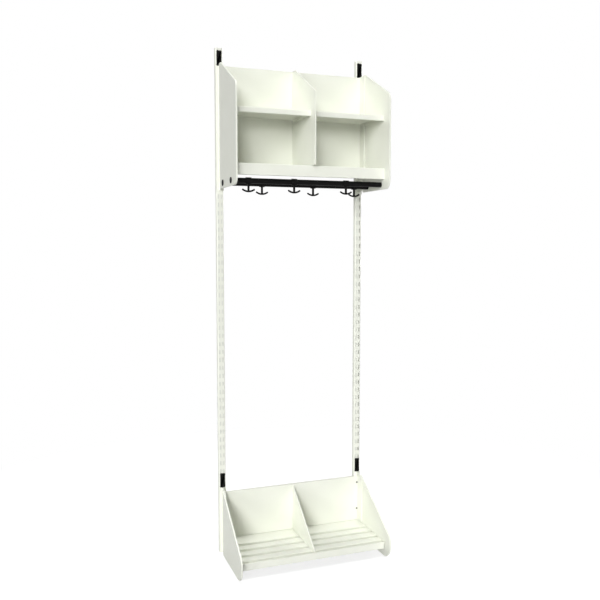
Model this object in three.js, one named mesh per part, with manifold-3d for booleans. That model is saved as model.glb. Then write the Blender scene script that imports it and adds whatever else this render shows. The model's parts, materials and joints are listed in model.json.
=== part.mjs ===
// A kids cloakroom unit. Two slotted wall rails carry a two-bay pigeonhole unit with
// coat hooks, and a two-bay shoe unit that also stands on the floor.
// Millimetres, +X right, +Z up, the wall behind the rails at +Y.
import * as THREE from 'three';
import { mergeVertices } from 'three/addons/utils/BufferGeometryUtils.js';
import Module from 'manifold-3d';

const wasm = await Module();
wasm.setup();

// Clearance between pieces that touch, and how far a cut runs past what it cuts
const gap = 0.3;
const overrun = 5;

// Wall rails: channels open to the wall, with two lines of slots in the front wall
const railHeight = 1984;
const railSpacing = 589;
const railWidth = 28;
const railDepth = 17;
const railWall = 1.5;
const railBend = 4;
const slotPitch = 32;
const slotLinesApart = 12;
const slotWidth = 6;
const slotHeight = 17;
const firstSlotHeight = 12.5;
const slotEndMargin = 8;

// Locking clips above each bracket
const clipWidth = 19;
const clipHeight = 57;
const clipFace = 3;
const clipStudReach = 6;
const clipStudClearance = 0.4;
const clipCorner = 3;

// Brackets: a plate on the rail, a tongue to the side panel and lugs behind the plate
const bracketPlate = 3;
const bracketOverhang = 6;
const bracketTopDrop = 1;
const tongueSheet = 4;
const tongueReach = 52;
const lugSheet = 3;
const lugNeckHeight = 9;
const lugNoseDrop = 6;
const lugNoseSheet = 3;
const lugSlotsApart = 4;
const firstLugSlot = 1;

// Both units: side panels, sheet metal and back panels
const sidePanel = 6;
const sideRearSetback = 35;
const sheet = 1.5;
const dividerSheet = 5;
const backPanelSetback = 16;
const sheetReturn = 9;
const sideFlange = 14;

// Upper unit
const railTopClear = 67;
const upperSideHeight = 469;
const upperSideReach = 273;
const upperFrontEdge = 353;
const upperFlatReach = 55;
const upperTopCorner = 12;
const upperFrontCorner = 28;
const upperBottomCorner = 30;
const upperDividerSetback = 8;
const upperDividerTopDrop = 4;
const upperDividerFrontEdge = 265;
const upperDividerCorner = 8;
const bottomShelfRise = 79;
const bottomShelfSetback = 40;
const bottomShelfLip = 41.5;
const midShelfRise = 201;
const midShelfSetback = 49;
const midShelfLip = 19.5;
const midShelfRear = 12;
const shelfNotch = 9;

// Hook tubes, their end caps and the hooks
const tubeRadius = 10;
const tubeWall = 1.5;
const tubeRise = 19;
const frontTubeReach = 201;
const rearTubeReach = 81;
const capOverlap = 1.5;
const capFace = 2.4;
const capPlug = 12;
const hookPitch = 88.3;
const hookMiddleGap = 122;
const hookRingWall = 2;
const hookRingLength = 20;
const hookStem = 6.5;
const hookDepth = 8;
const hookArm = 6.5;
const hookSpan = 54;
const hookRise = 15;
const hookDrop = 42;

// Shoe unit
const shoeSideReach = 308;
const shoeRearHeight = 260;
const shoeFrontHeight = 88;
const shoeTopCorner = 35;
const shoeBottomCorner = 55;
const shoeBracketRise = 6;
const shoeTongueDrop = 1.5;
const shoeBackDrop = 10.5;
const trayHeight = 60;
const trayReach = 266;
const trayLip = 27;
const trayLipEnd = 11;
const trayRear = 20;
const grooveCount = 4;
const groovePitch = 51;
const grooveWidth = 20;
const grooveDepth = 10;
const grooveSlant = 3;
const trayRidge = 4;
const shoeDividerSetback = 4.5;
const shoeDividerFrontEdge = 8;
const shoeDividerRearDrop = 5;

// Back panel screws of the shoe unit
const screwInset = 4.2;
const screwHead = 4;
const screwHeadRise = 2.2;
const screwShank = 2;
const screwHole = 2.3;
const lowScrewRise = 50;
const highScrewDrop = 26;

// Facets of round shapes
const tubeFacets = 32;
const ringFacets = 28;
const screwFacets = 16;
const cornerSteps = 6;
const armSteps = 12;
const tipSteps = 4;

// Places that follow from the sizes: half widths from the middle, reaches from the wall
const railMiddle = railSpacing / 2;
const railFront = railDepth;
const plateRear = railFront + gap;
const plateFront = plateRear + bracketPlate;
const tongueInner = railMiddle - tongueSheet / 2;
const tongueOuter = railMiddle + tongueSheet / 2;
const tongueFront = plateFront + tongueReach;
const sideInner = tongueOuter + gap;
const sideOuter = sideInner + sidePanel;
const sideRear = railFront + sideRearSetback;
const backInner = tongueInner - gap;
const backRear = plateFront + gap;
const backFront = railFront + backPanelSetback;
const shelfEnd = sideInner - gap;
const upperTop = railHeight - railTopClear;
const upperBottom = upperTop - upperSideHeight;
const upperFront = railFront + upperSideReach;
const upperBracketTop = upperTop - bracketTopDrop;
const shoeFront = railFront + shoeSideReach;
const overallDepth = shoeFront;
const shoeBracketTop = shoeRearHeight + shoeBracketRise;
const shoeBackTop = shoeRearHeight - shoeBackDrop;
const lowScrewHeight = trayHeight + lowScrewRise;
const highScrewHeight = shoeBackTop - highScrewDrop;

// Shape helpers: solids are made from closed meshes, then joined and cut

function toSolid(geometry) {
  geometry.deleteAttribute('normal');
  geometry.deleteAttribute('uv');
  const merged = mergeVertices(geometry);
  return new wasm.Manifold(new wasm.Mesh({
    numProp: 3,
    vertProperties: new Float32Array(merged.attributes.position.array),
    triVerts: new Uint32Array(merged.index.array),
  }));
}

function toGeometry(solid) {
  const mesh = solid.getMesh();
  const geometry = new THREE.BufferGeometry();
  geometry.setAttribute('position', new THREE.BufferAttribute(mesh.vertProperties, mesh.numProp));
  geometry.setIndex(new THREE.BufferAttribute(mesh.triVerts, 1));
  geometry.computeVertexNormals();
  return geometry;
}

// A block between two values on each axis, with its reach counted forward from the wall
function block(x, reach, z) {
  const geometry = new THREE.BoxGeometry(x[1] - x[0], reach[1] - reach[0], z[1] - z[0]);
  geometry.translate((x[0] + x[1]) / 2, -(reach[0] + reach[1]) / 2, (z[0] + z[1]) / 2);
  return toSolid(geometry);
}

// A round bar along X
function barAlongX(radius, from, to, reach, height, facets) {
  const geometry = new THREE.CylinderGeometry(radius, radius, to - from, facets);
  geometry.rotateZ(Math.PI / 2);
  geometry.translate((from + to) / 2, -reach, height);
  return toSolid(geometry);
}

// A round bar along Y, between two reaches from the wall
function barAlongY(radius, x, from, to, height) {
  const geometry = new THREE.CylinderGeometry(radius, radius, to - from, screwFacets);
  geometry.translate(x, -(from + to) / 2, height);
  return toSolid(geometry);
}

// A corner of an outline, by its reach from the wall, its height and its fillet
function corner(reach, height, fillet = 0) {
  return { at: new THREE.Vector2(-reach, height), fillet };
}

// The points of an outline, with an arc in each filleted corner
function filleted(corners) {
  return corners.flatMap(({ at, fillet }, index) => {
    if (fillet === 0) return [at];
    const before = corners.at(index - 1).at.clone().sub(at).normalize();
    const after = corners[(index + 1) % corners.length].at.clone().sub(at).normalize();
    const halfAngle = Math.acos(before.dot(after)) / 2;
    const bisector = before.clone().add(after).normalize();
    const centre = at.clone().addScaledVector(bisector, fillet / Math.sin(halfAngle));
    const start = at.clone().addScaledVector(before, fillet / Math.tan(halfAngle)).sub(centre);
    const turn = (Math.PI - 2 * halfAngle) * Math.sign(after.cross(before));
    const steps = [...Array(cornerSteps + 1).keys()];
    return steps.map((step) => (
      start.clone().rotateAround(new THREE.Vector2(), turn * step / cornerSteps).add(centre)
    ));
  });
}

// A flat outline of reach and height, pushed from one X to another
function pushAlongX(points, from, to) {
  const geometry = new THREE.ExtrudeGeometry(new THREE.Shape(points), {
    depth: to - from,
    bevelEnabled: false,
  });
  geometry.applyMatrix4(new THREE.Matrix4().set(
    0, 0, 1, from,
    1, 0, 0, 0,
    0, 1, 0, 0,
    0, 0, 0, 1,
  ));
  return toSolid(geometry);
}

// A flat outline of X and height, pushed forward and back from one reach
function pushAlongY(points, reach, thickness) {
  const geometry = new THREE.ExtrudeGeometry(new THREE.Shape(points), {
    depth: thickness,
    bevelEnabled: false,
  });
  geometry.rotateX(Math.PI / 2);
  geometry.translate(0, thickness / 2 - reach, 0);
  return toSolid(geometry);
}

// A flat outline of X and reach, pushed up from one height to another
function pushUp(points, from, to) {
  const geometry = new THREE.ExtrudeGeometry(new THREE.Shape(points), {
    depth: to - from,
    bevelEnabled: false,
  });
  geometry.translate(0, 0, from);
  return toSolid(geometry);
}

// The outline of a folded sheet, from the path of its outer face, with mitred folds
function folded(path, thickness) {
  const leftOf = (from, to) => {
    const along = to.clone().sub(from).normalize();
    return new THREE.Vector2(-along.y, along.x);
  };
  const innerFace = path.map((point, index) => {
    const last = path.length - 1;
    const first = leftOf(path[Math.max(index - 1, 0)], path[Math.max(index, 1)]);
    const second = leftOf(path[Math.min(index, last - 1)], path[Math.min(index + 1, last)]);
    const mitre = first.clone().add(second).divideScalar(1 + first.dot(second));
    return point.clone().addScaledVector(mitre, thickness);
  });
  return [...path, ...innerFace.reverse()];
}

function joined(solids) {
  return solids.reduce((whole, solid) => whole.add(solid));
}

function cut(solid, tools) {
  return tools.reduce((left, tool) => left.subtract(tool), solid);
}

// Materials

function powderCoat() {
  return new THREE.MeshStandardMaterial({ color: 0xf2f4e6, roughness: 0.45, metalness: 0 });
}

function blackPaint() {
  return new THREE.MeshStandardMaterial({ color: 0x0b0b0b, roughness: 0.4, metalness: 0 });
}

function blackPlastic() {
  return new THREE.MeshStandardMaterial({ color: 0x101010, roughness: 0.6, metalness: 0 });
}

function darkSteel() {
  return new THREE.MeshStandardMaterial({ color: 0x4a4a48, roughness: 0.4, metalness: 0.8 });
}

const cloakroom = new THREE.Group();

function place(name, solid, material) {
  const mesh = new THREE.Mesh(toGeometry(solid), material);
  mesh.name = name;
  cloakroom.add(mesh);
}

const sides = [
  { side: 'left', sign: -1 },
  { side: 'right', sign: 1 },
];

// Two values on one side of the middle, in rising order
function across(sign, inner, outer) {
  return sign < 0 ? [-outer, -inner] : [inner, outer];
}

// Rails, and the slots that lie wholly between two heights

function slotsBetween(low, high) {
  const heights = [];
  const lastSlot = railHeight - slotEndMargin - slotHeight / 2;
  for (let height = firstSlotHeight; height <= lastSlot; height += slotPitch) {
    const inside = height - slotHeight / 2 > low && height + slotHeight / 2 < high;
    if (inside) heights.push(height);
  }
  return heights;
}

// The middles of the two lines of slots
function slotLines(sign) {
  return [-1, 1].map((line) => sign * railMiddle + line * slotLinesApart / 2);
}

// A bar with round front edges, from one reach to another
function railBar(middle, half, reach, bend, z) {
  return pushUp(filleted([
    { at: new THREE.Vector2(middle - half, -reach[0]), fillet: 0 },
    { at: new THREE.Vector2(middle - half, -reach[1]), fillet: bend },
    { at: new THREE.Vector2(middle + half, -reach[1]), fillet: bend },
    { at: new THREE.Vector2(middle + half, -reach[0]), fillet: 0 },
  ]), ...z);
}

function rail(sign) {
  const middle = sign * railMiddle;
  const bar = railBar(middle, railWidth / 2, [0, railDepth], railBend, [0, railHeight]);
  const inside = railBar(
    middle,
    railWidth / 2 - railWall,
    [-overrun, railDepth - railWall],
    railBend - railWall,
    [-overrun, railHeight + overrun],
  );
  const slots = slotLines(sign).flatMap((line) => slotsBetween(0, railHeight).map((height) => block(
    [line - slotWidth / 2, line + slotWidth / 2],
    [railDepth / 2, railDepth + overrun],
    [height - slotHeight / 2, height + slotHeight / 2],
  )));
  return cut(bar, [inside, ...slots]);
}

for (const { side, sign } of sides) place(`${side}_rail`, rail(sign), powderCoat());

// Locking clips: a face plate with a stud in every slot behind it

function clip(sign, bottom) {
  const middle = sign * railMiddle;
  const half = clipWidth / 2;
  const faceRear = railFront + gap;
  const chamfer = clipCorner / Math.SQRT2;
  const top = bottom + clipHeight;
  const face = pushAlongY([
    new THREE.Vector2(middle - half + chamfer, bottom),
    new THREE.Vector2(middle + half - chamfer, bottom),
    new THREE.Vector2(middle + half, bottom + chamfer),
    new THREE.Vector2(middle + half, top - chamfer),
    new THREE.Vector2(middle + half - chamfer, top),
    new THREE.Vector2(middle - half + chamfer, top),
    new THREE.Vector2(middle - half, top - chamfer),
    new THREE.Vector2(middle - half, bottom + chamfer),
  ], faceRear + clipFace / 2, clipFace);
  const studHalf = slotWidth / 2 - clipStudClearance;
  const studRise = slotHeight / 2 - clipStudClearance;
  const studs = slotLines(sign).flatMap((line) => slotsBetween(bottom, top).map((height) => block(
    [line - studHalf, line + studHalf],
    [railFront - clipStudReach, faceRear + clipFace / 2],
    [height - studRise, height + studRise],
  )));
  return joined([face, ...studs]);
}

for (const { side, sign } of sides) {
  place(`upper_${side}_clip`, clip(sign, upperBracketTop + gap), blackPlastic());
  place(`lower_${side}_clip`, clip(sign, shoeBracketTop + gap), blackPlastic());
}

// Brackets

function lug(line, slotMiddle) {
  const x = [line - lugSheet / 2, line + lugSheet / 2];
  const neckBottom = slotMiddle - slotHeight / 2 + gap;
  const noseFront = railFront - railWall - gap;
  const noseRear = noseFront - lugNoseSheet;
  const neck = block(x, [noseRear, plateFront], [neckBottom, neckBottom + lugNeckHeight]);
  const nose = block(x, [noseRear, noseFront], [neckBottom - lugNoseDrop, neckBottom + lugNeckHeight]);
  return joined([neck, nose]);
}

function bracket(sign, bottom, top, tongue) {
  const middle = sign * railMiddle;
  const plate = block(
    [middle - railWidth / 2, middle + railWidth / 2],
    [plateRear, plateFront],
    [bottom, top],
  );
  const slots = slotsBetween(bottom, top).filter((height, index) => index % lugSlotsApart === firstLugSlot);
  const lugs = slotLines(sign).flatMap((line) => slots.map((height) => lug(line, height)));
  return joined([plate, tongue, ...lugs]);
}

function upperBracket(sign) {
  const bottom = upperBottom - bracketOverhang;
  const tongue = pushAlongX(filleted([
    corner(plateRear, bottom),
    corner(tongueFront, upperBottom + upperBottomCorner / 2),
    corner(tongueFront, upperBracketTop),
    corner(plateRear, upperBracketTop),
  ]), ...across(sign, tongueInner, tongueOuter));
  return bracket(sign, bottom, upperBracketTop, tongue);
}

// The shoe unit's tongue stays under the sloping edge of the side panel
function shoeTongue(sign) {
  const x = across(sign, tongueInner, tongueOuter);
  const slope = (shoeRearHeight - shoeFrontHeight) / (shoeFront - sideRear);
  const underEdge = (reach) => shoeFrontHeight - shoeTongueDrop + (shoeFront - reach) * slope;
  const room = pushAlongX([
    new THREE.Vector2(0, -overrun),
    new THREE.Vector2(0, underEdge(0)),
    new THREE.Vector2(-shoeFront, underEdge(shoeFront)),
    new THREE.Vector2(-shoeFront, -overrun),
  ], x[0] - overrun, x[1] + overrun);
  return block(x, [plateRear, tongueFront], [0, shoeBracketTop]).intersect(room);
}

function shoeBracket(sign) {
  const holes = [lowScrewHeight, highScrewHeight].map((height) => (
    barAlongY(screwHole, sign * (backInner - screwInset), railFront / 2, plateFront + overrun, height)
  ));
  return cut(bracket(sign, 0, shoeBracketTop, shoeTongue(sign)), holes);
}

for (const { side, sign } of sides) {
  place(`upper_${side}_bracket`, upperBracket(sign), powderCoat());
  place(`shoe_${side}_bracket`, shoeBracket(sign), powderCoat());
}

// Upper unit: side panels with holes for the hook tubes

const tubeHeight = upperBottom + tubeRise;
const tubes = [
  { tube: 'front', reach: railFront + frontTubeReach },
  { tube: 'rear', reach: railFront + rearTubeReach },
];

function upperSide(sign) {
  const x = across(sign, sideInner, sideOuter);
  const panel = pushAlongX(filleted([
    corner(sideRear, upperBottom),
    corner(upperFront, upperBottom, upperBottomCorner),
    corner(upperFront, upperBottom + upperFrontEdge, upperFrontCorner),
    corner(railFront + upperFlatReach, upperTop, upperTopCorner),
    corner(sideRear, upperTop),
  ]), ...x);
  const holes = tubes.map(({ reach }) => (
    barAlongX(tubeRadius + gap, x[0] - overrun, x[1] + overrun, reach, tubeHeight, tubeFacets)
  ));
  return cut(panel, holes);
}

for (const { side, sign } of sides) place(`upper_${side}_side`, upperSide(sign), powderCoat());

// Back panels: a shallow pan with its folded edges against the brackets

function backPan(bottom, top) {
  const outer = block([-backInner, backInner], [backRear, backFront], [bottom, top]);
  const hollow = block(
    [sheet - backInner, backInner - sheet],
    [backRear - overrun, backFront - sheet],
    [bottom + sheet, top - sheet],
  );
  return cut(outer, [hollow]);
}

const bottomShelfTop = upperBottom + bottomShelfRise;
const dividerRear = backFront + gap;
const upperDividerTop = upperTop - upperDividerTopDrop;

place('upper_back', backPan(bottomShelfTop + gap, upperDividerTop), powderCoat());

function upperDivider() {
  const front = upperFront - upperDividerSetback;
  const bottom = bottomShelfTop + gap;
  const slopeStart = railFront + upperFlatReach - upperDividerSetback;
  return pushAlongX(filleted([
    corner(dividerRear, bottom),
    corner(front, bottom),
    corner(front, bottom + upperDividerFrontEdge, upperDividerCorner),
    corner(slopeStart, upperDividerTop, upperDividerCorner),
    corner(dividerRear, upperDividerTop),
  ]), -dividerSheet / 2, dividerSheet / 2);
}

place('upper_divider', upperDivider(), powderCoat());

// Shelves: a deck with a rear flange, a front lip with a folded return and flanges at its ends

function shelfPath(rear, front, top, rearFlange, lip) {
  return [
    new THREE.Vector2(-rear, top - rearFlange),
    new THREE.Vector2(-rear, top),
    new THREE.Vector2(-front, top),
    new THREE.Vector2(-front, top - lip),
    new THREE.Vector2(sheetReturn - front, top - lip),
  ];
}

function endFlanges(x, front, top) {
  const reach = [tongueFront + gap, front - sheetReturn];
  const height = [top - sideFlange, top - sheet / 2];
  return [
    block([x[0], x[0] + sheet], reach, height),
    block([x[1] - sheet, x[1]], reach, height),
  ];
}

// The room beside each tongue that a deck leaves free at its outer rear corner
function tongueRoom(sign, top, depth) {
  return block(
    across(sign, backInner, sideOuter),
    [0, tongueFront + gap],
    [top - depth - overrun, top + overrun],
  );
}

function midShelf(sign) {
  const front = upperFront - midShelfSetback;
  const top = bottomShelfTop + midShelfRise;
  const x = across(sign, dividerSheet / 2 + gap, shelfEnd);
  const deck = pushAlongX(folded(shelfPath(dividerRear, front, top, midShelfRear, midShelfLip), sheet), ...x);
  const notches = [[x[0], x[0] + shelfNotch], [x[1] - shelfNotch, x[1]]].map((span) => block(
    [span[0] - gap, span[1] + gap],
    [0, dividerRear + shelfNotch],
    [top - midShelfLip, top + overrun],
  ));
  return cut(joined([deck, ...endFlanges(x, front, top)]), [tongueRoom(sign, top, midShelfLip), ...notches]);
}

for (const { side, sign } of sides) place(`${side}_mid_shelf`, midShelf(sign), powderCoat());

function bottomShelf() {
  const front = upperFront - bottomShelfSetback;
  const x = [-shelfEnd, shelfEnd];
  const path = shelfPath(backRear, front, bottomShelfTop, midShelfRear, bottomShelfLip);
  const rooms = sides.map(({ sign }) => tongueRoom(sign, bottomShelfTop, midShelfRear));
  return cut(joined([pushAlongX(folded(path, sheet), ...x), ...endFlanges(x, front, bottomShelfTop)]), rooms);
}

place('bottom_shelf', bottomShelf(), powderCoat());

// Hook tubes and their end caps

function hookTube(reach) {
  const outside = barAlongX(tubeRadius, -sideOuter, sideOuter, reach, tubeHeight, tubeFacets);
  const bore = barAlongX(
    tubeRadius - tubeWall, -sideOuter - overrun, sideOuter + overrun, reach, tubeHeight, tubeFacets,
  );
  return outside.subtract(bore);
}

function endCap(sign, reach) {
  const faceRadius = tubeRadius + capOverlap;
  const plugRadius = tubeRadius - tubeWall - gap;
  const faceInner = sideOuter + gap;
  const face = across(sign, faceInner, faceInner + capFace);
  const plug = across(sign, sideOuter - capPlug, faceInner + capFace / 2);
  return joined([
    barAlongX(faceRadius, ...face, reach, tubeHeight, tubeFacets),
    barAlongX(plugRadius, ...plug, reach, tubeHeight, tubeFacets),
  ]);
}

for (const { tube, reach } of tubes) {
  place(`${tube}_tube`, hookTube(reach), blackPaint());
  for (const { side, sign } of sides) place(`${tube}_${side}_cap`, endCap(sign, reach), blackPlastic());
}

// Hooks: a ring round the tube, a stem and one curved bar with a tip at each end

function armOutline(x, bottom) {
  const chord = hookSpan / 2 - hookArm / 2;
  const rise = hookRise - hookArm;
  const radius = (chord * chord + rise * rise) / (2 * rise);
  const sweep = Math.asin(chord / radius);
  const centre = new THREE.Vector2(x, bottom + hookArm / 2 + radius);
  const onArc = (distance, angle) => new THREE.Vector2(
    centre.x + distance * Math.sin(angle),
    centre.y - distance * Math.cos(angle),
  );
  const points = [];
  for (let step = 0; step <= armSteps; step += 1) {
    points.push(onArc(radius + hookArm / 2, sweep * (2 * step / armSteps - 1)));
  }
  for (let step = 1; step < tipSteps; step += 1) {
    const tip = onArc(radius, sweep);
    const angle = sweep + Math.PI * step / tipSteps;
    points.push(tip.add(new THREE.Vector2(Math.sin(angle), -Math.cos(angle)).multiplyScalar(hookArm / 2)));
  }
  for (let step = armSteps; step >= 0; step -= 1) {
    points.push(onArc(radius - hookArm / 2, sweep * (2 * step / armSteps - 1)));
  }
  for (let step = 1; step < tipSteps; step += 1) {
    const tip = onArc(radius, -sweep);
    const angle = Math.PI - sweep + Math.PI * step / tipSteps;
    points.push(tip.add(new THREE.Vector2(Math.sin(angle), -Math.cos(angle)).multiplyScalar(hookArm / 2)));
  }
  return points;
}

function hook(x, reach) {
  const half = hookRingLength / 2;
  const bottom = tubeHeight - hookDrop;
  const ringRadius = tubeRadius + gap + hookRingWall;
  const ring = barAlongX(ringRadius, x - half, x + half, reach, tubeHeight, ringFacets);
  const stem = block(
    [x - hookStem / 2, x + hookStem / 2],
    [reach - hookDepth / 2, reach + hookDepth / 2],
    [bottom + hookArm / 2, tubeHeight],
  );
  const bore = barAlongX(
    tubeRadius + gap, x - half - overrun, x + half + overrun, reach, tubeHeight, ringFacets,
  );
  const arms = pushAlongY(armOutline(x, bottom), reach, hookDepth);
  return cut(joined([ring, stem]), [bore]).add(arms);
}

const hooksPerSide = 3;
const hookPlaces = [];
for (let index = 0; index < hooksPerSide; index += 1) {
  const fromMiddle = hookMiddleGap / 2 + index * hookPitch;
  hookPlaces.unshift(-fromMiddle);
  hookPlaces.push(fromMiddle);
}
hookPlaces.forEach((x, index) => {
  place(`hook_${index + 1}`, hook(x, tubes[index % tubes.length].reach), blackPlastic());
});

// Shoe unit

function shoeSide(sign) {
  return pushAlongX(filleted([
    corner(sideRear, 0),
    corner(shoeFront, 0, shoeBottomCorner),
    corner(shoeFront, shoeFrontHeight, shoeTopCorner),
    corner(sideRear, shoeRearHeight),
  ]), ...across(sign, sideInner, sideOuter));
}

for (const { side, sign } of sides) place(`shoe_${side}_side`, shoeSide(sign), powderCoat());

// The tray: a deck with pressed grooves, the last one right behind the front ridge

const trayFront = railFront + trayReach;

function shoeTray() {
  const path = [
    new THREE.Vector2(-backRear, trayHeight - trayRear),
    new THREE.Vector2(-backRear, trayHeight),
  ];
  const lastGroove = trayFront - trayRidge - grooveWidth / 2;
  for (let index = grooveCount - 1; index >= 0; index -= 1) {
    const middle = lastGroove - index * groovePitch;
    path.push(new THREE.Vector2(grooveWidth / 2 - middle, trayHeight));
    path.push(new THREE.Vector2(grooveWidth / 2 - grooveSlant - middle, trayHeight - grooveDepth));
    path.push(new THREE.Vector2(grooveSlant - grooveWidth / 2 - middle, trayHeight - grooveDepth));
    path.push(new THREE.Vector2(-grooveWidth / 2 - middle, trayHeight));
  }
  path.push(
    new THREE.Vector2(-trayFront, trayHeight),
    new THREE.Vector2(-trayFront, trayHeight - trayLip),
    new THREE.Vector2(sheetReturn - trayFront, trayHeight - trayLip),
  );
  const deck = pushAlongX(folded(path, sheet), -shelfEnd, shelfEnd);
  const lipEnds = sides.map(({ sign }) => block(
    across(sign, shelfEnd - trayLipEnd, sideOuter),
    [trayFront - trayRidge / 2, trayFront + overrun],
    [0, trayHeight + overrun],
  ));
  const returnEnds = sides.map(({ sign }) => block(
    across(sign, shelfEnd - trayLipEnd, sideOuter),
    [trayFront - sheetReturn - overrun, trayFront + overrun],
    [0, trayHeight - grooveDepth - sheet - gap],
  ));
  const rooms = sides.map(({ sign }) => tongueRoom(sign, trayHeight, trayRear));
  return cut(deck, [...lipEnds, ...returnEnds, ...rooms]);
}

place('shoe_tray', shoeTray(), powderCoat());

function shoeDivider() {
  const front = trayFront - shoeDividerSetback;
  const bottom = trayHeight + gap;
  return pushAlongX(filleted([
    corner(dividerRear, bottom),
    corner(front, bottom),
    corner(front, bottom + shoeDividerFrontEdge),
    corner(dividerRear, shoeBackTop - shoeDividerRearDrop),
  ]), -dividerSheet / 2, dividerSheet / 2);
}

place('shoe_divider', shoeDivider(), powderCoat());

// The back panel, with holes for its screws into the bracket plates

const screwPlaces = sides.flatMap(({ sign }) => [lowScrewHeight, highScrewHeight].map((height) => (
  { x: sign * (backInner - screwInset), height }
)));

const backHoles = screwPlaces.map(({ x, height }) => (
  barAlongY(screwHole, x, backFront - sheet - overrun, backFront + overrun, height)
));

place('shoe_back', cut(backPan(trayHeight + gap, shoeBackTop), backHoles), powderCoat());

screwPlaces.forEach(({ x, height }, index) => {
  const shank = barAlongY(screwShank, x, railFront + 2 * gap, backFront + screwHeadRise, height);
  const head = barAlongY(screwHead, x, backFront + gap, backFront + gap + screwHeadRise, height);
  place(`shoe_back_screw_${index + 1}`, shank.add(head), darkSteel());
});

// The origin is on the floor, under the middle of the whole unit
cloakroom.position.y = overallDepth / 2;

export default cloakroom;
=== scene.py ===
import json
import math

import bmesh
import bpy
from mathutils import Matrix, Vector


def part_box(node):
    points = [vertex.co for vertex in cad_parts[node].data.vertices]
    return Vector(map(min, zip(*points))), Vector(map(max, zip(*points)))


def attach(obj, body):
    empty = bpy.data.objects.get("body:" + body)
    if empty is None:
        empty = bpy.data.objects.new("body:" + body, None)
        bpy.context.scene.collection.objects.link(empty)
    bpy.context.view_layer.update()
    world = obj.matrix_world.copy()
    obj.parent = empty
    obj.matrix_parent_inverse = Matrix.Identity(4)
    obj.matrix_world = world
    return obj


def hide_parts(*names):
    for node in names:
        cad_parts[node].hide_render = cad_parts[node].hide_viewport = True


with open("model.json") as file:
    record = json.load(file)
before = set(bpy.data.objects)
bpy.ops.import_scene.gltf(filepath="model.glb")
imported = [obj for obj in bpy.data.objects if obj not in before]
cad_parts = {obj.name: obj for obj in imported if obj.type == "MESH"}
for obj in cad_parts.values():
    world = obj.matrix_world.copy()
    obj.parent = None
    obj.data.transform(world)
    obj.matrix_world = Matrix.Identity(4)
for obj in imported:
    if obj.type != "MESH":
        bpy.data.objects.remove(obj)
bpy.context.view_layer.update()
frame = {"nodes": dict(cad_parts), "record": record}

mm = 0.001
tiny = 0.05 * mm          # how near a point counts as being at a place
overrun = 4 * mm          # how far a cutter runs past what it cuts
weld = 0.002 * mm         # points of a finished piece that are closer than this become one
joinWeld = 0.01 * mm      # the same for a packed or spun shape that is still worked on
nearlyAlong = 0.9         # the least part of a face's normal along the axis that it looks along
squarelyAlong = 0.99      # the same for a face that looks straight along it
sharpBends = 50           # edges of sheet that bend by more degrees than this are rounded

bodyOf = {node: body for body, nodes in frame["record"]["behaviour"]["bodies"].items() for node in nodes}


# Modelling by hand: one object active at a time, its parts selected by place

def clearSelection():
    active = bpy.context.view_layer.objects.active
    if active and active.mode != "OBJECT":
        bpy.ops.object.mode_set(mode="OBJECT")
    bpy.ops.object.select_all(action="DESELECT")


def hold(piece):
    clearSelection()
    bpy.context.view_layer.objects.active = piece
    piece.select_set(True)


def settle(name):
    # the new primitive keeps its place in its mesh
    piece = bpy.context.object
    bpy.ops.object.transform_apply(location=True, rotation=True, scale=True)
    piece.name = name
    return piece


def addBlock(name, low, high):
    clearSelection()
    low, high = Vector(low), Vector(high)
    bpy.ops.mesh.primitive_cube_add(size=1, location=(low + high) / 2)
    bpy.context.object.scale = high - low
    return settle(name)


def addRod(name, radius, start, end, sides, ends="NGON"):
    # a round bar between two points on a line along X or Y
    clearSelection()
    start, end = Vector(start), Vector(end)
    bpy.ops.mesh.primitive_cylinder_add(
        vertices=sides, radius=radius, depth=(end - start).length, end_fill_type=ends,
        location=(start + end) / 2, rotation=(end - start).to_track_quat("Z", "Y").to_euler(),
    )
    return settle(name)


def pick(piece, kind, test):
    # edit mode, with only what passes the test selected
    hold(piece)
    bpy.ops.object.mode_set(mode="EDIT")
    bpy.ops.mesh.select_mode(type={"verts": "VERT", "edges": "EDGE", "faces": "FACE"}[kind])
    bpy.ops.mesh.select_all(action="DESELECT")
    shape = bmesh.from_edit_mesh(piece.data)
    for item in getattr(shape, kind):
        if test(item):
            item.select_set(True)
    shape.select_flush_mode()
    bmesh.update_edit_mesh(piece.data)


def at(**places):
    # a test for what lies wholly at these coordinates
    axes = {"x": 0, "y": 1, "z": 2}

    def test(item):
        corners = item.verts if hasattr(item, "verts") else [item]
        return all(abs(corner.co[axes[axis]] - place) < tiny
                   for corner in corners for axis, place in places.items())
    return test


def anything(item):
    return True


def facing(direction):
    return lambda face: face.normal.dot(Vector(direction)) > nearlyAlong


def done():
    bpy.ops.object.mode_set(mode="OBJECT")


def bevelPicked(piece, test, width, steps):
    pick(piece, "edges", test)
    bpy.ops.mesh.bevel(offset=width, segments=steps, profile=0.5, affect="EDGES")
    done()


def fillet(piece, test, radius, turn, steps):
    # an edge where the outline turns by this angle gets a round corner of this radius
    bevelPicked(piece, test, radius * math.tan(turn / 2), steps)


def applyLast(piece):
    hold(piece)
    bpy.ops.object.modifier_apply(modifier=piece.modifiers[-1].name)


def combine(piece, other, operation):
    # cuts the other piece out of this one, or joins it to this one
    step = piece.modifiers.new("combine", "BOOLEAN")
    step.operation = operation
    step.solver = "EXACT"
    step.object = other
    applyLast(piece)
    bpy.data.objects.remove(other, do_unlink=True)


def thicken(piece, thickness):
    step = piece.modifiers.new("thicken", "SOLIDIFY")
    step.thickness = thickness
    step.offset = -1
    step.use_even_offset = True
    applyLast(piece)


def roundEdges(piece, radius, steps=2, above=40):
    step = piece.modifiers.new("round", "BEVEL")
    step.width = radius
    step.segments = steps
    step.limit_method = "ANGLE"
    step.angle_limit = math.radians(above)
    applyLast(piece)


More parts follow.
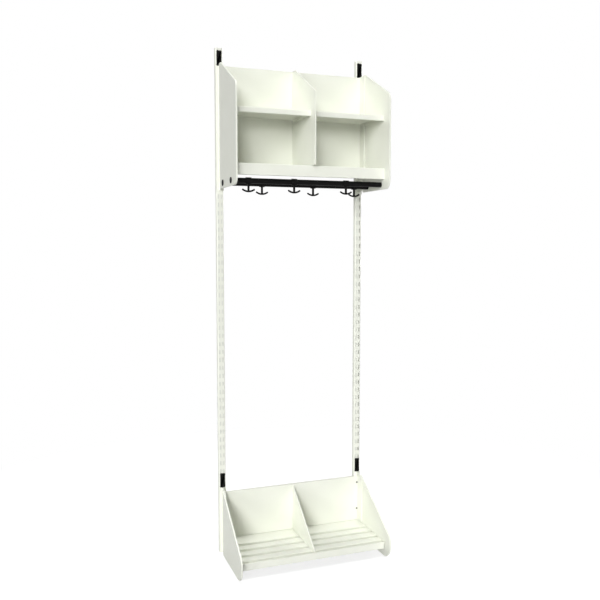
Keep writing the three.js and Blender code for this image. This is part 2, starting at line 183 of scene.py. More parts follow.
def cleanUp(piece):
    pick(piece, "faces", anything)
    bpy.ops.mesh.remove_doubles(threshold=weld)
    bpy.ops.mesh.dissolve_degenerate(threshold=weld)
    bpy.ops.mesh.normals_make_consistent(inside=False)
    done()


def dress(piece, node, material, smoothBelow=35):
    # smooth shading that keeps the flats flat, then material and body
    cleanUp(piece)
    bpy.ops.object.shade_smooth_by_angle(angle=math.radians(smoothBelow))
    step = piece.modifiers.new("flats", "WEIGHTED_NORMAL")
    step.keep_sharp = True
    applyLast(piece)
    piece.data.materials.clear()
    piece.data.materials.append(material)
    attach(piece, bodyOf[node])
    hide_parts(node)


# Materials: sums on sockets add their Math nodes, and every other node comes from Recipe.node

class Signal:
    def __init__(self, recipe, socket):
        self.recipe = recipe
        self.socket = socket

    def join(self, operation, first, second):
        return self.recipe.node("ShaderNodeMath", {"operation": operation}, {0: first, 1: second})

    def __add__(self, other):
        return self.join("ADD", self, other)

    def __radd__(self, other):
        return self.join("ADD", other, self)

    def __sub__(self, other):
        return self.join("SUBTRACT", self, other)

    def __rsub__(self, other):
        return self.join("SUBTRACT", other, self)

    def __mul__(self, other):
        return self.join("MULTIPLY", self, other)

    def __rmul__(self, other):
        return self.join("MULTIPLY", other, self)


class Recipe:
    def __init__(self, tree):
        self.tree = tree
        self.tree.nodes.clear()

    def node(self, kind, settings=None, inputs=None, output=0):
        made = self.tree.nodes.new(kind)
        for name, value in (settings or {}).items():
            if name == "stops":
                self.setStops(made.color_ramp, value)
            else:
                setattr(made, name, value)
        for name, value in (inputs or {}).items():
            if isinstance(value, Signal):
                self.tree.links.new(value.socket, made.inputs[name])
            else:
                made.inputs[name].default_value = value
        return Signal(self, made.outputs[output]) if made.outputs else None

    def setStops(self, ramp, stops):
        while len(ramp.elements) < len(stops):
            ramp.elements.new(0.5)
        for element, (position, level) in zip(ramp.elements, stops):
            element.position = position
            element.color = (level, level, level, 1)

    def place(self):
        return self.node("ShaderNodeTexCoord", output=3)

    def noise(self, size, detail=2, roughness=0.5):
        # noise with features of this size, in metres
        return self.node("ShaderNodeTexNoise", {"noise_dimensions": "3D"}, {
            "Vector": self.place(), "Scale": 1 / size, "Detail": detail, "Roughness": roughness,
        })

    def ramp(self, signal, stops):
        return self.node("ShaderNodeValToRGB", {"stops": stops}, {0: signal})

    def blend(self, factor, first, second):
        return self.node("ShaderNodeMix", {"data_type": "RGBA"}, {
            0: factor, 6: (*first, 1), 7: (*second, 1),
        }, output=2)

    def bump(self, height, distance):
        return self.node("ShaderNodeBump", inputs={"Height": height, "Distance": distance, "Strength": 1})

    def surface(self, inputs):
        shader = self.node("ShaderNodeBsdfPrincipled", inputs=inputs)
        self.node("ShaderNodeOutputMaterial", inputs={"Surface": shader})


def newMaterial(name):
    material = bpy.data.materials.new(name)
    material.use_nodes = True
    return material, Recipe(material.node_tree)


# Powder coat: fine orange peel with a finer grain in it, and faint cloudiness
coatLook = {
    "colour": (0.87, 0.885, 0.80),
    "cloudColour": (0.85, 0.868, 0.775),
    "cloudSize": 90 * mm,
    "peelSize": 1.6 * mm,
    "grainSize": 0.35 * mm,
    "peelHeight": 0.02 * mm,
    "roughness": 0.3,
    "roughnessSpread": 0.1,
    "specular": 0.5,
}
coatPattern = {
    "cloudDetail": 3, "cloudStops": [(0.35, 0), (0.7, 1)], "cloudRoughness": 0.03,
    "peelDetail": 2, "grainDetail": 1, "grainShare": 0.3,
}


def powderCoat(name, look):
    material, recipe = newMaterial(name)
    pattern = coatPattern
    cloud = recipe.ramp(recipe.noise(look["cloudSize"], pattern["cloudDetail"]), pattern["cloudStops"])
    peel = recipe.noise(look["peelSize"], pattern["peelDetail"])
    grain = recipe.noise(look["grainSize"], pattern["grainDetail"])
    unevenness = (peel - 0.5) * look["roughnessSpread"]
    recipe.surface({
        "Base Color": recipe.blend(cloud, look["colour"], look["cloudColour"]),
        "Roughness": look["roughness"] + unevenness + cloud * pattern["cloudRoughness"],
        "Specular IOR Level": look["specular"],
        "Normal": recipe.bump(peel + grain * pattern["grainShare"], look["peelHeight"]),
    })
    return material


# Black paint on the hook tubes, and the moulded black plastic
paintLook = {
    "colour": (0.004, 0.004, 0.004), "cloudColour": (0.006, 0.006, 0.006), "cloudSize": 40 * mm,
    "peelSize": 1.2 * mm, "grainSize": 0.3 * mm, "peelHeight": 0.012 * mm,
    "roughness": 0.34, "roughnessSpread": 0.12, "specular": 0.12,
}
plasticLook = {
    "colour": (0.005, 0.005, 0.005),
    "scuffColour": (0.012, 0.012, 0.012),
    "sparkSize": 0.45 * mm,
    "sparkHeight": 0.015 * mm,
    "scuffSize": 14 * mm,
    "scuffDetail": 5,
    "scuffGrain": 0.65,
    "scuffStops": [(0.5, 0), (0.75, 1)],
    "scuffRoughness": 0.12,
    "sparkPolish": 0.08,
    "roughness": 0.5,
    "specular": 0.12,
}


def mouldedPlastic(name, look):
    material, recipe = newMaterial(name)
    cells = recipe.node("ShaderNodeTexVoronoi", {"feature": "F1"}, {
        "Vector": recipe.place(), "Scale": 1 / look["sparkSize"],
    })
    patches = recipe.noise(look["scuffSize"], look["scuffDetail"], look["scuffGrain"])
    scuff = recipe.ramp(patches, look["scuffStops"])
    polish = cells * look["sparkPolish"]
    recipe.surface({
        "Base Color": recipe.blend(scuff, look["colour"], look["scuffColour"]),
        "Roughness": look["roughness"] + scuff * look["scuffRoughness"] - polish,
        "Specular IOR Level": look["specular"],
        "Normal": recipe.bump(cells, look["sparkHeight"]),
    })
    return material


# Dark zinc of the screws, faintly mottled
zincLook = {
    "colour": (0.3, 0.3, 0.285), "stainColour": (0.18, 0.18, 0.165), "stainSize": 2.5 * mm,
    "stainDetail": 4, "stainStops": [(0.4, 0), (0.65, 1)], "stainRoughness": 0.15,
    "roughness": 0.38, "metallic": 0.85,
    "scratchSize": 0.4 * mm, "scratchDetail": 3, "scratchHeight": 0.006 * mm,
}


def darkZinc(name, look):
    material, recipe = newMaterial(name)
    stain = recipe.ramp(recipe.noise(look["stainSize"], look["stainDetail"]), look["stainStops"])
    scratches = recipe.noise(look["scratchSize"], look["scratchDetail"])
    recipe.surface({
        "Base Color": recipe.blend(stain, look["colour"], look["stainColour"]),
        "Metallic": look["metallic"],
        "Roughness": look["roughness"] + stain * look["stainRoughness"],
        "Normal": recipe.bump(scratches, look["scratchHeight"]),
    })
    return material


coat = powderCoat("powderCoat", coatLook)
blackPaint = powderCoat("blackPaint", paintLook)
blackPlastic = mouldedPlastic("blackPlastic", plasticLook)
screwZinc = darkZinc("screwZinc", zincLook)
print("materials ready")


# Rails: channels open to the wall, with round front folds and two lines of slots
railLook = {
    "wall": 1.5 * mm, "fold": 4 * mm, "foldSteps": 6, "edge": 0.3 * mm,
    "slotWidth": 6 * mm, "slotHeight": 17 * mm, "slotCorner": 1.5 * mm, "linesApart": 12 * mm,
    "slotCornerSteps": 3, "firstSlot": 12.5 * mm, "slotPitch": 32 * mm, "slotCount": 62,
}


def makeRail(node):
    look = railLook
    low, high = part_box(node)
    rail = addBlock(f"{node}_channel", low, high)
    for x in (low.x, high.x):
        fillet(rail, at(x=x, y=low.y), look["fold"], math.pi / 2, look["foldSteps"])
    pick(rail, "faces", lambda face: abs(face.normal.z) > nearlyAlong or face.normal.y > nearlyAlong)
    bpy.ops.mesh.delete(type="ONLY_FACE")
    done()
    thicken(rail, look["wall"])
    for line in slotLines(low, high):
        combine(rail, slotCutter(line, low, high), "DIFFERENCE")
    roundEdges(rail, look["edge"], above=sharpBends)
    dress(rail, node, coat)


def slotLines(low, high):
    middle, half = (low.x + high.x) / 2, railLook["linesApart"] / 2
    return middle - half, middle + half


def slotCutter(line, low, high):
    # a row of blocks with round corners, one in each slot
    look = railLook
    half = Vector((look["slotWidth"] / 2, 0, look["slotHeight"] / 2))
    first = Vector((line, low.y - overrun, look["firstSlot"])) - half
    last = Vector((line, (low.y + high.y) / 2, look["firstSlot"])) + half
    slots = addBlock("slots", first, last)
    for x in (first.x, last.x):
        for z in (first.z, last.z):
            fillet(slots, at(x=x, z=z), look["slotCorner"], math.pi / 2, look["slotCornerSteps"])
    row = slots.modifiers.new("row", "ARRAY")
    row.count = look["slotCount"]
    row.use_relative_offset = False
    row.use_constant_offset = True
    row.constant_offset_displace = (0, 0, look["slotPitch"])
    applyLast(slots)
    return slots


for side in ("left", "right"):
    makeRail(f"{side}_rail")
print("rails made")


# Side panels: a slab with its slope cut off, round outline corners and holes for the hook tubes
sideLook = {
    "edge": 0.9 * mm, "edgeSteps": 3, "cornerSteps": 10,
    "slopeStart": 55 * mm, "frontEdge": 353 * mm, "topCorner": 12 * mm, "frontCorner": 28 * mm,
    "bottomCorner": 30 * mm, "tubeClearance": 0.3 * mm, "holeSides": 48,
    "shoeFront": 88 * mm, "shoeTopCorner": 35 * mm, "shoeBottomCorner": 55 * mm,
}
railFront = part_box("left_rail")[0].y


def cutSlope(piece, start, end):
    # cuts off what lies above a line from start to end, both (y, z)
    along = Vector((0, end[0] - start[0], end[1] - start[1]))
    pick(piece, "faces", anything)
    bpy.ops.mesh.bisect(
        plane_co=(0, *start), plane_no=Vector((1, 0, 0)).cross(along), use_fill=True, clear_inner=True,
    )
    bpy.ops.mesh.select_all(action="SELECT")
    bpy.ops.mesh.normals_make_consistent(inside=False)
    done()
    return math.atan2(abs(along.z), abs(along.y))


def makeUpperSide(side):
    look = sideLook
    node = f"upper_{side}_side"
    low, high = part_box(node)
    panel = addBlock(f"{node}_panel", low, high)
    slopeTop = (railFront - look["slopeStart"], high.z)
    slopeFoot = (low.y, low.z + look["frontEdge"])
    fall = cutSlope(panel, slopeTop, slopeFoot)
    steps = look["cornerSteps"]
    fillet(panel, at(y=slopeTop[0], z=slopeTop[1]), look["topCorner"], fall, steps)
    fillet(panel, at(y=slopeFoot[0], z=slopeFoot[1]), look["frontCorner"], math.pi / 2 - fall, steps)
    fillet(panel, at(y=low.y, z=low.z), look["bottomCorner"], math.pi / 2, steps)
    for tube in ("front_tube", "rear_tube"):
        tubeLow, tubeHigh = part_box(tube)
        middle = (tubeLow + tubeHigh) / 2
        radius = (tubeHigh.z - tubeLow.z) / 2 + look["tubeClearance"]
        hole = addRod("hole", radius, (low.x - overrun, middle.y, middle.z),
                      (high.x + overrun, middle.y, middle.z), look["holeSides"])
        combine(panel, hole, "DIFFERENCE")
    roundEdges(panel, look["edge"], look["edgeSteps"])
    dress(panel, node, coat)


def makeShoeSide(side):
    look = sideLook
    node = f"shoe_{side}_side"
    low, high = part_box(node)
    panel = addBlock(f"{node}_panel", low, high)
    slopeFoot = (low.y, look["shoeFront"])
    fall = cutSlope(panel, (high.y, high.z), slopeFoot)
    steps = look["cornerSteps"]
    fillet(panel, at(y=slopeFoot[0], z=slopeFoot[1]), look["shoeTopCorner"], math.pi / 2 - fall, steps)
    fillet(panel, at(y=low.y, z=low.z), look["shoeBottomCorner"], math.pi / 2, steps)
    roundEdges(panel, look["edge"], look["edgeSteps"])
    dress(panel, node, coat)


for side in ("left", "right"):
    makeUpperSide(side)
    makeShoeSide(side)
print("side panels made")


# Dividers between the bays
dividerLook = {
    "edge": 0.8 * mm, "edgeSteps": 3, "cornerSteps": 8,
    "slopeStart": 47 * mm, "frontEdge": 265 * mm, "corner": 8 * mm, "shoeFrontEdge": 8 * mm,
}


def makeUpperDivider():
    look = dividerLook
    low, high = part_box("upper_divider")
    divider = addBlock("upper_divider_panel", low, high)
    slopeTop = (railFront - look["slopeStart"], high.z)
    slopeFoot = (low.y, low.z + look["frontEdge"])
    fall = cutSlope(divider, slopeTop, slopeFoot)
    steps = look["cornerSteps"]
    fillet(divider, at(y=slopeTop[0], z=slopeTop[1]), look["corner"], fall, steps)
    fillet(divider, at(y=slopeFoot[0], z=slopeFoot[1]), look["corner"], math.pi / 2 - fall, steps)
    roundEdges(divider, look["edge"], look["edgeSteps"])
    dress(divider, "upper_divider", coat)


def makeShoeDivider():
    look = dividerLook
    low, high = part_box("shoe_divider")
    divider = addBlock("shoe_divider_panel", low, high)
    cutSlope(divider, (high.y, high.z), (low.y, low.z + look["shoeFrontEdge"]))
    roundEdges(divider, look["edge"], look["edgeSteps"])
    dress(divider, "shoe_divider", coat)


makeUpperDivider()
makeShoeDivider()
print("dividers made")


# Back panels: shallow pans, hollow towards the wall
panLook = {"sheet": 1.5 * mm, "edge": 0.3 * mm, "edgeSteps": 2, "screwHole": 2.3 * mm, "holeSides": 32}


def makeBackPan(node, holes):
    look = panLook
    low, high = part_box(node)
    pan = addBlock(f"{node}_pan", low, high)
    pick(pan, "faces", facing((0, 1, 0)))
    bpy.ops.mesh.inset(thickness=look["sheet"], depth=0)
    bpy.ops.mesh.extrude_region_move(TRANSFORM_OT_translate={
        "value": (0, low.y - high.y + look["sheet"], 0),
    })
    done()
    for edge in (at(y=low.y, z=low.z), at(y=low.y, z=high.z), at(y=low.y, x=low.x), at(y=low.y, x=high.x)):
        bevelPicked(pan, edge, look["edge"], look["edgeSteps"])
    for x, z in holes:
        hole = addRod("hole", look["screwHole"], (x, low.y - overrun, z), (x, low.y + overrun, z),
                      look["holeSides"])
        combine(pan, hole, "DIFFERENCE")
    roundEdges(pan, look["edge"], above=sharpBends)
    dress(pan, node, coat)


screws = [f"shoe_back_screw_{number}" for number in range(1, 5)]
screwPlaces = []
for screw in screws:
    low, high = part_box(screw)
    screwPlaces.append(((low.x + high.x) / 2, (low.z + high.z) / 2))
makeBackPan("upper_back", [])
makeBackPan("shoe_back", screwPlaces)
print("back panels made")


# Shelves and the tray: one sheet folded along X, with round folds
shelfLook = {
    "sheet": 1.5 * mm, "fold": 2.2 * mm, "foldSteps": 4, "edge": 0.35 * mm,
    "lipReturn": 9 * mm, "midRear": 12 * mm, "sideFlange": 14 * mm,
    "notch": 9 * mm, "clearance": 0.3 * mm,
}
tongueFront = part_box("upper_left_bracket")[0].y - shelfLook["clearance"]
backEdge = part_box("upper_back")[1].x


def addFoldedSheet(name, xLow, xHigh, path, look):
    # a plane is the first flange, and each further flange is drawn out of its free edge
    (y0, z0), (y1, z1) = path[0], path[1]
    clearSelection()
    bpy.ops.mesh.primitive_plane_add(
        size=1, location=((xLow + xHigh) / 2, (y0 + y1) / 2, (z0 + z1) / 2),
        rotation=(math.atan2(z1 - z0, y1 - y0), 0, 0),
    )
    bpy.context.object.scale = (xHigh - xLow, math.hypot(y1 - y0, z1 - z0), 1)
    piece = settle(name)
    for (fromY, fromZ), (toY, toZ) in zip(path[1:], path[2:]):
        pick(piece, "edges", at(y=fromY, z=fromZ))
        bpy.ops.mesh.extrude_region_move(TRANSFORM_OT_translate={"value": (0, toY - fromY, toZ - fromZ)})
        done()
    for before, fold, after in zip(path, path[1:], path[2:]):
        inward = Vector((fold[0] - before[0], fold[1] - before[1])).normalized()
        outward = Vector((after[0] - fold[0], after[1] - fold[1])).normalized()
        fillet(piece, at(y=fold[0], z=fold[1]), look["fold"], inward.angle(outward), look["foldSteps"])
    faceUp(piece)
    thicken(piece, look["sheet"])
    return piece


def faceUp(piece):
    # the largest face that lies flat shows its outside upwards, and the others follow it
    pick(piece, "faces", anything)
    bpy.ops.mesh.normals_make_consistent(inside=False)
    shape = bmesh.from_edit_mesh(piece.data)
    flat = max(shape.faces, key=lambda face: face.calc_area() * abs(face.normal.z))
    if flat.normal.z < 0:
        bpy.ops.mesh.flip_normals()
    done()


def shelfPath(low, high, rearFlange, lip, look):
    return [
        (high.y, high.z - rearFlange), (high.y, high.z), (low.y, high.z),
        (low.y, high.z - lip), (low.y + look["lipReturn"], high.z - lip),
    ]


def addSideFlanges(piece, low, high, look):
    for x in (low.x, high.x - look["sheet"]):
        flange = addBlock(
            "flange", (x, low.y + look["lipReturn"], high.z - look["sideFlange"]),
            (x + look["sheet"], tongueFront, high.z - look["sheet"] / 2),
        )
        combine(piece, flange, "UNION")


def cutTongueRoom(piece, side, low, high, depth):
    # the outer rear corner stays free beside the bracket's tongue
    inner, outer = backEdge, high.x + overrun
    if side == "left":
        inner, outer = low.x - overrun, -backEdge
    room = addBlock("room", (inner, tongueFront, high.z - depth - overrun),
                    (outer, high.y + overrun, high.z + overrun))
    combine(piece, room, "DIFFERENCE")


def makeMidShelf(side):
    look = shelfLook
    node = f"{side}_mid_shelf"
    low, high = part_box(node)
    lip = high.z - low.z
    path = shelfPath(low, high, look["midRear"], lip, look)
    shelf = addFoldedSheet(f"{node}_sheet", low.x, high.x, path, look)
    addSideFlanges(shelf, low, high, look)
    cutTongueRoom(shelf, side, low, high, lip)
    for start, end in ((low.x - overrun, low.x + look["notch"]), (high.x - look["notch"], high.x + overrun)):
        notch = addBlock("notch", (start, high.y - look["notch"], low.z),
                         (end, high.y + overrun, high.z + overrun))
        combine(shelf, notch, "DIFFERENCE")
    roundEdges(shelf, look["edge"], above=sharpBends)
    dress(shelf, node, coat)


def makeBottomShelf():
    look = shelfLook
    low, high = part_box("bottom_shelf")
    path = shelfPath(low, high, look["midRear"], high.z - low.z, look)
    shelf = addFoldedSheet("bottom_shelf_sheet", low.x, high.x, path, look)
    addSideFlanges(shelf, low, high, look)
    for side in ("left", "right"):
        cutTongueRoom(shelf, side, low, high, look["midRear"])
    roundEdges(shelf, look["edge"], above=sharpBends)
    dress(shelf, "bottom_shelf", coat)


trayLook = {
    "sheet": 1.5 * mm, "fold": 1.6 * mm, "foldSteps": 4, "edge": 0.35 * mm,
    "rear": 20 * mm, "lip": 27 * mm, "lipReturn": 9 * mm, "lipEnd": 4 * mm, "ridge": 4 * mm,
    "grooves": 4, "groovePitch": 51 * mm, "grooveWidth": 20 * mm, "grooveDepth": 10 * mm,
    "grooveSlant": 1 * mm, "clearance": 0.3 * mm,
}


def makeTray():
    look = trayLook
    low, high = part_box("shoe_tray")
    top = high.z
    path = [(high.y, top - look["rear"]), (high.y, top)]
    lastGroove = low.y + look["ridge"] + look["grooveWidth"] / 2
    half, slant = look["grooveWidth"] / 2, look["grooveSlant"]
    for index in reversed(range(look["grooves"])):
        middle = lastGroove + index * look["groovePitch"]
        path += [
            (middle + half, top), (middle + half - slant, top - look["grooveDepth"]),
            (middle - half + slant, top - look["grooveDepth"]), (middle - half, top),
        ]
    path += [(low.y, top), (low.y, top - look["lip"]), (low.y + look["lipReturn"], top - look["lip"])]
    tray = addFoldedSheet("shoe_tray_sheet", low.x, high.x, path, look)
    underGroove = top - look["grooveDepth"] - look["sheet"] - look["clearance"]
    lipLow, lipHigh = low.x + look["lipEnd"], high.x - look["lipEnd"]
    for start, end in ((low.x - overrun, lipLow), (lipHigh, high.x + overrun)):
        lipEnd = addBlock("lipEnd", (start, low.y - overrun, low.z - overrun),
                          (end, low.y + look["ridge"] / 2, top + overrun))
        combine(tray, lipEnd, "DIFFERENCE")
        returnEnd = addBlock("returnEnd", (start, low.y - overrun, low.z - overrun),
                             (end, low.y + look["lipReturn"] + overrun, underGroove))
        combine(tray, returnEnd, "DIFFERENCE")
    for side in ("left", "right"):
        cutTongueRoom(tray, side, low, high, look["rear"])
    roundEdges(tray, look["edge"], above=sharpBends)
    dress(tray, "shoe_tray", coat)


for side in ("left", "right"):
    makeMidShelf(side)
makeBottomShelf()
makeTray()
print("shelves and tray made")


# Brackets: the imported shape, merged, with its edges rounded
bracketLook = {"edge": 0.5 * mm, "edgeSteps": 2, "flatWithin": 0.5}


def makeBracket(node):
    bracket = frame["nodes"][node].copy()
    bracket.data = frame["nodes"][node].data.copy()
    bracket.parent = None
    for key in list(bracket.keys()):
        del bracket[key]
    bpy.context.scene.collection.objects.link(bracket)
    bracket.name = f"{node}_plate"
    pick(bracket, "verts", anything)
    bpy.ops.mesh.remove_doubles(threshold=joinWeld)
    bpy.ops.mesh.dissolve_limited(angle_limit=math.radians(bracketLook["flatWithin"]))
    done()
    roundEdges(bracket, bracketLook["edge"], bracketLook["edgeSteps"], sharpBends)
    dress(bracket, node, coat)


for unit in ("upper", "shoe"):
    for side in ("left", "right"):
        makeBracket(f"{unit}_{side}_bracket")
print("brackets made")


# Locking clips: a face plate with a shallow panel, and a stud for each slot behind it
clipLook = {
    "face": 3 * mm, "corner": 2.1 * mm, "cornerSteps": 4, "edge": 0.7 * mm, "edgeSteps": 3,
    "panelInset": 2.4 * mm, "panelDepth": 0.4 * mm,
    "studWidth": 5.2 * mm, "studHeight": 16.2 * mm, "studEdge": 0.5 * mm,
}


def makeClip(node):
    look = clipLook
    low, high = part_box(node)
    faceRear = low.y + look["face"]
    clip = addBlock(f"{node}_moulding", low, (high.x, faceRear, high.z))
    for x in (low.x, high.x):
        for z in (low.z, high.z):
            fillet(clip, at(x=x, z=z), look["corner"], math.pi / 2, look["cornerSteps"])
    roundEdges(clip, look["edge"], look["edgeSteps"])
    square = (high.x - low.x) ** 2
    pick(clip, "faces", lambda face: face.normal.y < -squarelyAlong and face.calc_area() > square)
    bpy.ops.mesh.inset(thickness=look["panelInset"], depth=0)
    bpy.ops.mesh.inset(thickness=look["panelDepth"], depth=-look["panelDepth"])
    done()
    half = Vector((look["studWidth"] / 2, 0, look["studHeight"] / 2))
    for number in range(railLook["slotCount"]):
        height = railLook["firstSlot"] + number * railLook["slotPitch"]
        if low.z < height - railLook["slotHeight"] / 2 and height + railLook["slotHeight"] / 2 < high.z:
            for line in slotLines(low, high):
                root = Vector((line, faceRear - look["face"] / 2, height))
                stud = addBlock("stud", root - half, Vector((line, high.y, height)) + half)
                roundEdges(stud, look["studEdge"])
                combine(clip, stud, "UNION")
    dress(clip, node, blackPlastic)


for level in ("upper", "lower"):
    for side in ("left", "right"):
        makeClip(f"{level}_{side}_clip")
print("clips made")


# Hook tubes and their end caps
tubeLook = {"wall": 1.5 * mm, "edge": 0.3 * mm, "sides": 64}
capLook = {
    "face": 2.4 * mm, "dome": 1.2 * mm, "domeSteps": 5, "plugRadius": 8.2 * mm, "plugSteps": 2, "sides": 48,
}


def makeTube(node):
    look = tubeLook
    low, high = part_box(node)
    middle = (low + high) / 2
    tube = addRod(f"{node}_bar", (high.z - low.z) / 2, (low.x, middle.y, middle.z),
                  (high.x, middle.y, middle.z), look["sides"], "NOTHING")
    thicken(tube, look["wall"])
    roundEdges(tube, look["edge"])
    dress(tube, node, blackPaint)


def makeCap(node):
    look = capLook
    low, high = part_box(node)
    middle = (low + high) / 2
    outward = 1 if middle.x > 0 else -1
    outside, inside = (high.x, low.x) if outward > 0 else (low.x, high.x)
    faceInner = outside - outward * look["face"]
    cap = addRod(f"{node}_button", (high.z - low.z) / 2, (faceInner, middle.y, middle.z),
                 (outside, middle.y, middle.z), look["sides"])
    bevelPicked(cap, at(x=outside), look["dome"], look["domeSteps"])
    pick(cap, "faces", at(x=faceInner))
    bpy.ops.mesh.inset(thickness=(high.z - low.z) / 2 - look["plugRadius"], depth=0)
    bpy.ops.mesh.extrude_region_move(TRANSFORM_OT_translate={"value": (inside - faceInner, 0, 0)})
    bpy.ops.mesh.bevel(offset=look["dome"] / 2, segments=look["plugSteps"], affect="EDGES")
    done()
    dress(cap, node, blackPlastic)


for tube in ("front", "rear"):
    makeTube(f"{tube}_tube")
    for side in ("left", "right"):
        makeCap(f"{tube}_{side}_cap")
print("tubes and caps made")


# Hooks: a ring round the tube, a stem, and an oval bar spun through an arc, all moulded in one
hookLook = {
    "ringWall": 2 * mm, "ringLength": 20 * mm, "ringSides": 64, "stemWidth": 6.5 * mm, "depth": 8 * mm,
    "arm": 6.5 * mm, "span": 54 * mm, "rise": 15 * mm, "armSteps": 32, "armSides": 24,
    "tip": 2.6 * mm, "tipSteps": 4, "voxel": 0.6 * mm, "smoothing": 4, "softness": 0.5, "keep": 0.35,
    "smoothBelow": 60,
}


def addHookArms(middle, bottom, look):
    # an oval face at one tip, spun round the centre of the arc to the other tip
    chord = (look["span"] - look["arm"]) / 2
    rise = look["rise"] - look["arm"]
    radius = (chord ** 2 + rise ** 2) / (2 * rise)
    sweep = math.asin(chord / radius)
    centre = Vector((middle.x, middle.y, bottom + look["arm"] / 2 + radius))
    clearSelection()
    bpy.ops.mesh.primitive_circle_add(
        vertices=look["armSides"], radius=0.5, fill_type="NGON",
        location=centre - Vector((0, 0, radius)), rotation=(0, math.pi / 2, 0),
    )
    bpy.context.object.scale = (look["arm"], look["depth"], 1)
    arms = settle("arms")
    pick(arms, "faces", anything)
    bpy.ops.transform.rotate(value=sweep, orient_axis="Y", center_override=centre)
    done()
    pick(arms, "faces", anything)
    bpy.ops.mesh.spin(steps=look["armSteps"], angle=-2 * sweep, center=centre, axis=(0, 1, 0))
    bpy.ops.mesh.select_all(action="SELECT")
    bpy.ops.mesh.remove_doubles(threshold=joinWeld)
    bpy.ops.mesh.normals_make_consistent(inside=False)
    done()
    # only the two end faces have more than four corners
    bevelPicked(arms, lambda edge: any(len(face.verts) > 4 for face in edge.link_faces),
                look["tip"], look["tipSteps"])
    return arms


def mouldHook(low, high):
    look = hookLook
    middle = (low + high) / 2
    outer = (high.y - low.y) / 2
    tubeHeight = high.z - outer
    ring = addRod("hookMould", outer, (middle.x - look["ringLength"] / 2, middle.y, tubeHeight),
                  (middle.x + look["ringLength"] / 2, middle.y, tubeHeight), look["ringSides"], "NOTHING")
    thicken(ring, look["ringWall"])
    half = Vector((look["stemWidth"] / 2, look["depth"] / 2, 0))
    foot = Vector((middle.x, middle.y, low.z + look["arm"] / 2))
    head = Vector((middle.x, middle.y, tubeHeight - outer + look["ringWall"] / 2))
    combine(ring, addBlock("stem", foot - half, head + half), "UNION")
    combine(ring, addHookArms(middle, low.z, look), "UNION")
    remesh = ring.modifiers.new("mould", "REMESH")
    remesh.mode = "VOXEL"
    remesh.voxel_size = look["voxel"]
    applyLast(ring)
    soften = ring.modifiers.new("soften", "SMOOTH")
    soften.factor = look["softness"]
    soften.iterations = look["smoothing"]
    applyLast(ring)
    thin = ring.modifiers.new("thin", "DECIMATE")
    thin.ratio = look["keep"]
    applyLast(ring)
    return ring


def makeHooks():
    hooks = [f"hook_{number}" for number in range(1, 7)]
    mould = mouldHook(*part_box(hooks[0]))
    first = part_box(hooks[0])[0]
    for node in hooks:
        hold(mould)
        bpy.ops.object.duplicate()
        hook = bpy.context.object
        hook.name = f"{node}_moulding"
        hook.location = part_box(node)[0] - first
        hook = settle(hook.name)
        dress(hook, node, blackPlastic, hookLook["smoothBelow"])
    bpy.data.objects.remove(mould, do_unlink=True)


makeHooks()
print("hooks made")


# Screws: domed heads with a hexagon recess
screwLook = {
    "shank": 2 * mm, "head": 2.2 * mm, "dome": 1.4 * mm, "domeSteps": 5, "sides": 40,
    "recess": 1.5 * mm, "recessDepth": 1.2 * mm, "recessSides": 6,
}


def makeScrew(node):
    look = screwLook
    low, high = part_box(node)
    middle = (low + high) / 2
    headRear = low.y + look["head"]
    screw = addRod(f"{node}_turned", (high.x - low.x) / 2, (middle.x, headRear, middle.z),
                   (middle.x, low.y, middle.z), look["sides"])
    bevelPicked(screw, at(y=low.y), look["dome"], look["domeSteps"])
    pick(screw, "faces", at(y=headRear))
    bpy.ops.mesh.inset(thickness=(high.x - low.x) / 2 - look["shank"], depth=0)
    bpy.ops.mesh.extrude_region_move(TRANSFORM_OT_translate={"value": (0, high.y - headRear, 0)})
    done()
    recess = addRod("recess", look["recess"], (middle.x, low.y - overrun, middle.z),
                    (middle.x, low.y + look["recessDepth"], middle.z), look["recessSides"])
    combine(screw, recess, "DIFFERENCE")
    dress(screw, node, screwZinc)


for screw in screws:
    makeScrew(screw)
print("screws made")


# Stage: a grey floor that is white to the camera but keeps the shadow, strips of wall behind the rails
# whose dim glow to the camera is painted shade, and a surround that is white to the camera, grey in
# reflections and almost dark as a light
stageLook = {
    "floorSize": 14, "floorDrop": 0.2 * mm, "floorLevel": 0.5, "shownLevel": 0.9,
    "shadowShare": 0.35, "whiteStrength": 1.2, "fadeStart": 0.7, "fadeEnd": 2,
    "surround": 0.08, "mirrored": 0.4,
}


def makeFloor():
    look = stageLook
    clearSelection()
    bpy.ops.mesh.primitive_plane_add(size=look["floorSize"], location=(0, 0, -look["floorDrop"]))
    floor = settle("floor")
    material, recipe = newMaterial("floorPaper")
    reach = recipe.node("ShaderNodeVectorMath", {"operation": "LENGTH"}, {0: recipe.place()}, output=1)
    far = recipe.node("ShaderNodeMapRange", {}, {
        "Value": reach, "From Min": look["fadeStart"], "From Max": look["fadeEnd"],
    })
    seen = recipe.node("ShaderNodeLightPath", output="Is Camera Ray")
    grey, shown = look["floorLevel"], look["shownLevel"]
    colour = recipe.blend(seen, (grey,) * 3, (shown,) * 3)
    paper = recipe.node("ShaderNodeBsdfDiffuse", inputs={"Color": colour})
    white = recipe.node("ShaderNodeEmission", inputs={
        "Color": (1, 1, 1, 1), "Strength": 1 + (1 - far) * (look["whiteStrength"] - 1),
    })
    share = seen * (1 - (1 - far) * look["shadowShare"])
    mixed = recipe.node("ShaderNodeMixShader", inputs={0: share, 1: paper, 2: white})
    recipe.node("ShaderNodeOutputMaterial", inputs={"Surface": mixed})
    floor.data.materials.append(material)


# the strips' glow colour is painted shade: the wall behind the slots, made to look as it would in the rail's
# shadow
wallLook = {"inset": 0.5 * mm, "gap": 0.2 * mm, "level": 0.8, "shadeGlow": (0.78, 0.8, 0.72), "shadeGlowShare": 0.8}


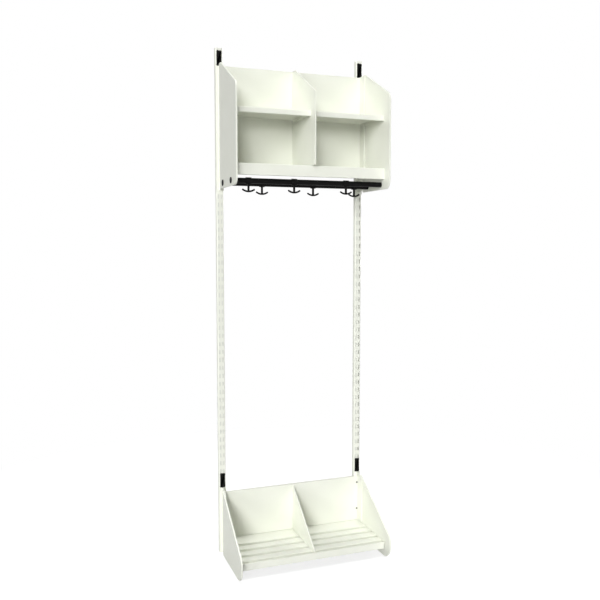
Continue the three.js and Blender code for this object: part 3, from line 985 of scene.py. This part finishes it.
def makeWall():
    # only the strip of wall behind each rail, which shows through the rail's slots; to the camera it glows
    # in a fixed dim colour, which is painted shade of the wall in the rail's shadow
    look = wallLook
    material, recipe = newMaterial("wallPaintedShade")
    paper = recipe.node("ShaderNodeBsdfDiffuse", inputs={"Color": (look["level"],) * 3 + (1,)})
    shadeGlow = recipe.node("ShaderNodeEmission", inputs={"Color": (*look["shadeGlow"], 1), "Strength": 1})
    seen = recipe.node("ShaderNodeLightPath", output="Is Camera Ray")
    mixed = recipe.node("ShaderNodeMixShader", inputs={0: seen * look["shadeGlowShare"], 1: paper, 2: shadeGlow})
    recipe.node("ShaderNodeOutputMaterial", inputs={"Surface": mixed})
    for side in ("left", "right"):
        low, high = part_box(f"{side}_rail")
        middle = (low + high) / 2
        clearSelection()
        bpy.ops.mesh.primitive_plane_add(size=1, location=(middle.x, high.y + look["gap"], middle.z),
                                         rotation=(math.pi / 2, 0, 0))
        bpy.context.object.scale = (high.x - low.x - 2 * look["inset"], high.z - low.z, 1)
        strip = settle(f"{side}_wall")
        strip.data.materials.append(material)


def makeSurround():
    world = bpy.context.scene.world or bpy.data.worlds.new("surround")
    bpy.context.scene.world = world
    world.use_nodes = True
    recipe = Recipe(world.node_tree)
    path = {}
    for ray in ("Is Camera Ray", "Is Glossy Ray", "Is Transmission Ray"):
        path[ray] = recipe.node("ShaderNodeLightPath", output=ray)
    level = stageLook["surround"]
    shown = path["Is Camera Ray"] + path["Is Transmission Ray"]
    strength = level + shown * (1 - level) + path["Is Glossy Ray"] * (stageLook["mirrored"] - level)
    light = recipe.node("ShaderNodeBackground", inputs={"Color": (1, 1, 1, 1), "Strength": strength})
    recipe.node("ShaderNodeOutputWorld", inputs={"Surface": light})


lightLook = {
    "key": {"azimuth": -34, "elevation": 20, "spread": 20, "strength": 1.07},
    "low": {"azimuth": -22, "elevation": 6, "spread": 14, "strength": 1.08},
    "side": {"azimuth": -60, "elevation": 6, "spread": 14, "strength": 0.67},
    "top": {"azimuth": 0, "elevation": 89, "spread": 30, "strength": 2.2},
    "back": {"azimuth": 132, "elevation": 12, "spread": 30, "strength": 2.5},
}
lampDistance = 4


def makeLights():
    for name, look in lightLook.items():
        azimuth, elevation = math.radians(look["azimuth"]), math.radians(look["elevation"])
        away = Vector((
            math.sin(azimuth) * math.cos(elevation), -math.cos(azimuth) * math.cos(elevation),
            math.sin(elevation),
        ))
        clearSelection()
        bpy.ops.object.light_add(
            type="SUN", location=away * lampDistance, rotation=away.to_track_quat("Z", "Y").to_euler(),
        )
        lamp = bpy.context.object
        lamp.name = name
        lamp.data.angle = math.radians(look["spread"])
        lamp.data.energy = look["strength"]


cameraLook = {
    "place": (-0.9685, -2.5893, 1.2395), "pitch": 85.48, "heading": -20.17, "lens": 42.95, "sensor": 36,
}


def makeCamera():
    look = cameraLook
    clearSelection()
    bpy.ops.object.camera_add(location=look["place"],
                              rotation=(math.radians(look["pitch"]), 0, math.radians(look["heading"])))
    camera = bpy.context.object
    camera.data.lens = look["lens"]
    camera.data.sensor_width = look["sensor"]
    bpy.context.scene.camera = camera


makeFloor()
makeWall()
makeSurround()
makeLights()
makeCamera()
bpy.context.scene.view_settings.view_transform = "Standard"
clearSelection()
print("stage, lights and camera ready")
